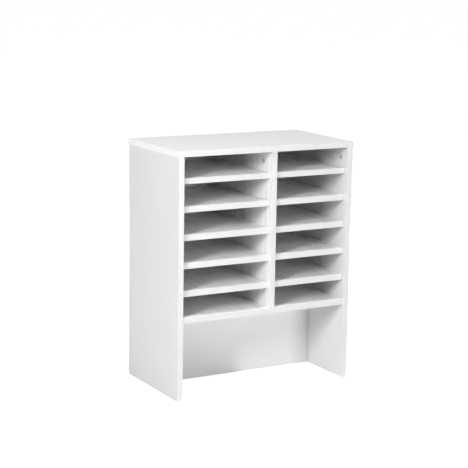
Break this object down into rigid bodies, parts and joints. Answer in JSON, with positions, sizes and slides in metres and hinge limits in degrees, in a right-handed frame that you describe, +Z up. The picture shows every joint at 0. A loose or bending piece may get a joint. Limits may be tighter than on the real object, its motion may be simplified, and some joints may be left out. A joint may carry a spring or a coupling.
{
  "type": "pigeonhole mail sorter",
  "caption": "White flat-pack pigeonhole unit for sorting mail: two columns of letter slots on loose shelves, over an open bay with a panel set across it.",
  "frame": {"origin": "on the floor, under the middle of the overall box", "axes": "+Z up, -Y out of the open front, +X to the right as seen from the front"},
  "size_m": [0.63, 0.35, 0.78],
  "materials": {
    "board": "white melamine on particleboard, satin",
    "shelf_board": "white melamine on particleboard, satin",
    "back_board": "thin hardboard, white faced",
    "zinc_fitting": "die-cast zinc, dull",
    "steel_fitting": "bright zinc-plated steel"
  },
  "bodies": {
    "carcass": {"top_panel": "board", "left_side_panel": "board", "right_side_panel": "board", "centre_divider": "board", "base_shelf": "board", "lower_panel": "board", "back_panel": "back_board", "left_side_front_cam": "zinc_fitting", "left_side_rear_cam": "zinc_fitting", "divider_front_cam": "zinc_fitting", "divider_rear_cam": "zinc_fitting", "right_side_front_cam": "zinc_fitting", "right_side_rear_cam": "zinc_fitting", "left_side_front_bolt": "steel_fitting", "left_side_rear_bolt": "steel_fitting", "divider_front_bolt": "steel_fitting", "divider_rear_bolt": "steel_fitting", "right_side_front_bolt": "steel_fitting", "right_side_rear_bolt": "steel_fitting", "left_side_front_pin_1": "steel_fitting", "left_side_rear_pin_1": "steel_fitting", "left_side_front_pin_2": "steel_fitting", "left_side_rear_pin_2": "steel_fitting", "left_side_front_pin_3": "steel_fitting", "left_side_rear_pin_3": "steel_fitting", "left_side_front_pin_4": "steel_fitting", "left_side_rear_pin_4": "steel_fitting", "left_side_front_pin_5": "steel_fitting", "left_side_rear_pin_5": "steel_fitting", "divider_front_pin_1": "steel_fitting", "divider_rear_pin_1": "steel_fitting", "divider_front_pin_2": "steel_fitting", "divider_rear_pin_2": "steel_fitting", "divider_front_pin_3": "steel_fitting", "divider_rear_pin_3": "steel_fitting", "divider_front_pin_4": "steel_fitting", "divider_rear_pin_4": "steel_fitting", "divider_front_pin_5": "steel_fitting", "divider_rear_pin_5": "steel_fitting", "right_side_front_pin_1": "steel_fitting", "right_side_rear_pin_1": "steel_fitting", "right_side_front_pin_2": "steel_fitting", "right_side_rear_pin_2": "steel_fitting", "right_side_front_pin_3": "steel_fitting", "right_side_rear_pin_3": "steel_fitting", "right_side_front_pin_4": "steel_fitting", "right_side_rear_pin_4": "steel_fitting", "right_side_front_pin_5": "steel_fitting", "right_side_rear_pin_5": "steel_fitting"},
    "left_shelf_1": {"left_shelf_1": "shelf_board"},
    "left_shelf_2": {"left_shelf_2": "shelf_board"},
    "left_shelf_3": {"left_shelf_3": "shelf_board"},
    "left_shelf_4": {"left_shelf_4": "shelf_board"},
    "left_shelf_5": {"left_shelf_5": "shelf_board"},
    "right_shelf_1": {"right_shelf_1": "shelf_board"},
    "right_shelf_2": {"right_shelf_2": "shelf_board"},
    "right_shelf_3": {"right_shelf_3": "shelf_board"},
    "right_shelf_4": {"right_shelf_4": "shelf_board"},
    "right_shelf_5": {"right_shelf_5": "shelf_board"}
  },
  "joints": [
    {"name": "left_shelf_1_slide", "type": "slide", "parent": "carcass", "child": "left_shelf_1", "axis": [0, -1, 0], "range_m": [0, 0.28]},
    {"name": "left_shelf_2_slide", "type": "slide", "parent": "carcass", "child": "left_shelf_2", "axis": [0, -1, 0], "range_m": [0, 0.28]},
    {"name": "left_shelf_3_slide", "type": "slide", "parent": "carcass", "child": "left_shelf_3", "axis": [0, -1, 0], "range_m": [0, 0.28]},
    {"name": "left_shelf_4_slide", "type": "slide", "parent": "carcass", "child": "left_shelf_4", "axis": [0, -1, 0], "range_m": [0, 0.28]},
    {"name": "left_shelf_5_slide", "type": "slide", "parent": "carcass", "child": "left_shelf_5", "axis": [0, -1, 0], "range_m": [0, 0.28]},
    {"name": "right_shelf_1_slide", "type": "slide", "parent": "carcass", "child": "right_shelf_1", "axis": [0, -1, 0], "range_m": [0, 0.28]},
    {"name": "right_shelf_2_slide", "type": "slide", "parent": "carcass", "child": "right_shelf_2", "axis": [0, -1, 0], "range_m": [0, 0.28]},
    {"name": "right_shelf_3_slide", "type": "slide", "parent": "carcass", "child": "right_shelf_3", "axis": [0, -1, 0], "range_m": [0, 0.28]},
    {"name": "right_shelf_4_slide", "type": "slide", "parent": "carcass", "child": "right_shelf_4", "axis": [0, -1, 0], "range_m": [0, 0.28]},
    {"name": "right_shelf_5_slide", "type": "slide", "parent": "carcass", "child": "right_shelf_5", "axis": [0, -1, 0], "range_m": [0, 0.28]}
  ]
}
